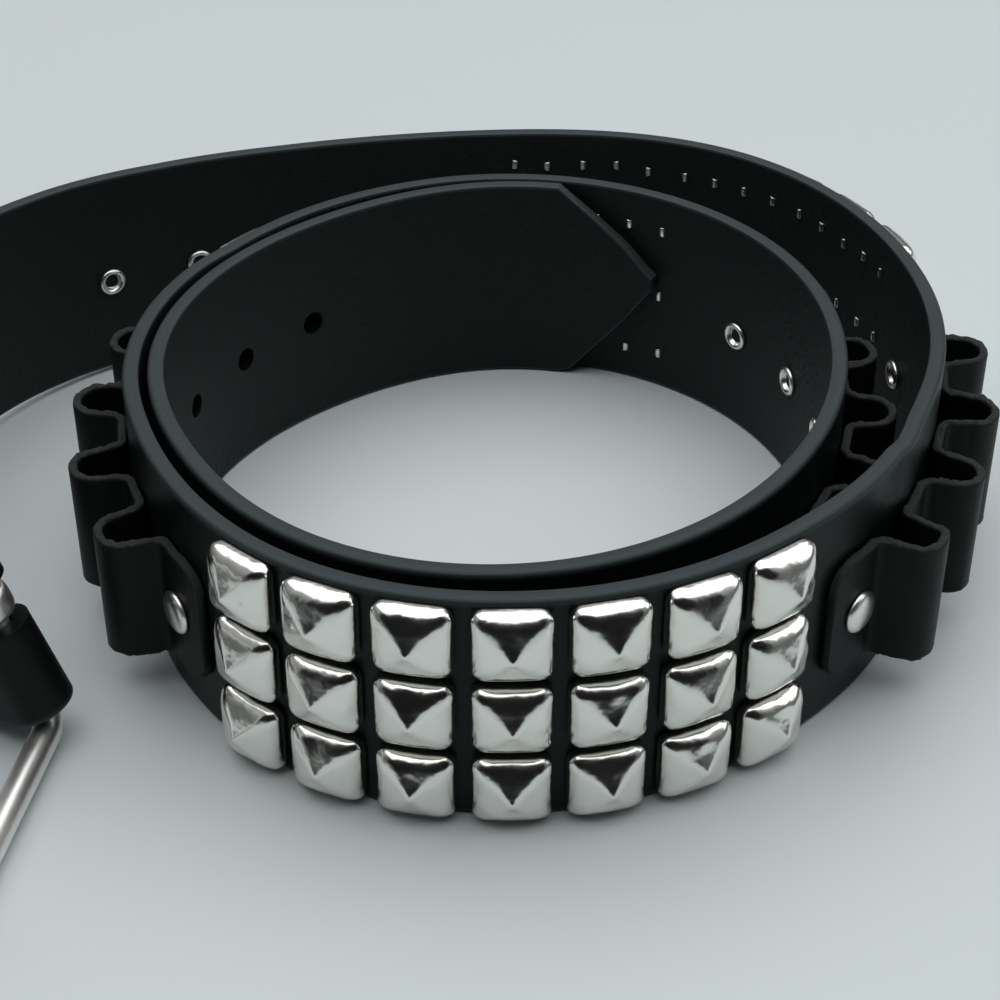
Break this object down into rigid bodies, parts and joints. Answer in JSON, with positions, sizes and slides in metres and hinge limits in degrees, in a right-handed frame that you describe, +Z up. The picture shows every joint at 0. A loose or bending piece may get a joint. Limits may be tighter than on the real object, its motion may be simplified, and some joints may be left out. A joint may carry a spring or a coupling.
{
  "type": "studded belt",
  "caption": "Black leather belt coiled on its edge, with pyramid studs in rows, riveted loops between them, a pointed tip and a wire buckle.",
  "frame": {"origin": "centre of the coiled belt's box, on the surface that it stands on", "axes": "+Z up, along the strap's width; +Y away from the viewer of the picture; +X to the viewer's right"},
  "size_m": [0.2234, 0.201, 0.0538],
  "materials": {
    "strap_leather": "smooth black leather with a satin sheen and a softly rounded edge",
    "loop_leather": "thin black leather with rough cut edges",
    "stud_nickel": "pressed and polished nickel plate",
    "nickel": "nickel plate, lightly worn",
    "wire_nickel": "polished nickel-plated wire"
  },
  "bodies": {
    "belt": {"strap": "strap_leather", "first_loop_strip": "loop_leather", "first_loop_rivet_1": "nickel", "first_loop_rivet_2": "nickel", "first_loop_rivet_3": "nickel", "first_loop_rivet_4": "nickel", "first_loop_rivet_5": "nickel", "second_loop_strip": "loop_leather", "second_loop_rivet_1": "nickel", "second_loop_rivet_2": "nickel", "second_loop_rivet_3": "nickel", "second_loop_rivet_4": "nickel", "second_loop_rivet_5": "nickel", "third_loop_strip": "loop_leather", "third_loop_rivet_1": "nickel", "third_loop_rivet_2": "nickel", "third_loop_rivet_3": "nickel", "third_loop_rivet_4": "nickel", "third_loop_rivet_5": "nickel", "fourth_loop_strip": "loop_leather", "fourth_loop_rivet_1": "nickel", "fourth_loop_rivet_2": "nickel", "fourth_loop_rivet_3": "nickel", "fourth_loop_rivet_4": "nickel", "fourth_loop_rivet_5": "nickel", "inner_stud_field": "stud_nickel", "outer_stud_field": "stud_nickel", "front_stud_1_1": "stud_nickel", "front_stud_1_2": "stud_nickel", "front_stud_1_3": "stud_nickel", "front_stud_2_1": "stud_nickel", "front_stud_2_2": "stud_nickel", "front_stud_2_3": "stud_nickel", "front_stud_3_1": "stud_nickel", "front_stud_3_2": "stud_nickel", "front_stud_3_3": "stud_nickel", "front_stud_4_1": "stud_nickel", "front_stud_4_2": "stud_nickel", "front_stud_4_3": "stud_nickel", "front_stud_5_1": "stud_nickel", "front_stud_5_2": "stud_nickel", "front_stud_5_3": "stud_nickel", "front_stud_6_1": "stud_nickel", "front_stud_6_2": "stud_nickel", "front_stud_6_3": "stud_nickel", "front_stud_7_1": "stud_nickel", "front_stud_7_2": "stud_nickel", "front_stud_7_3": "stud_nickel", "fold_rivet_low": "nickel", "fold_rivet_high": "nickel", "buckle_prong": "wire_nickel"},
    "frame": {"buckle_frame": "wire_nickel"}
  },
  "joints": [
    {"name": "frame_turn", "type": "hinge", "parent": "belt", "child": "frame", "pos_m": [-0.06803, -0.05529, 0.026], "axis": [-0.3382, 0.0513, 0.9397], "range_deg": [0, 55]}
  ]
}
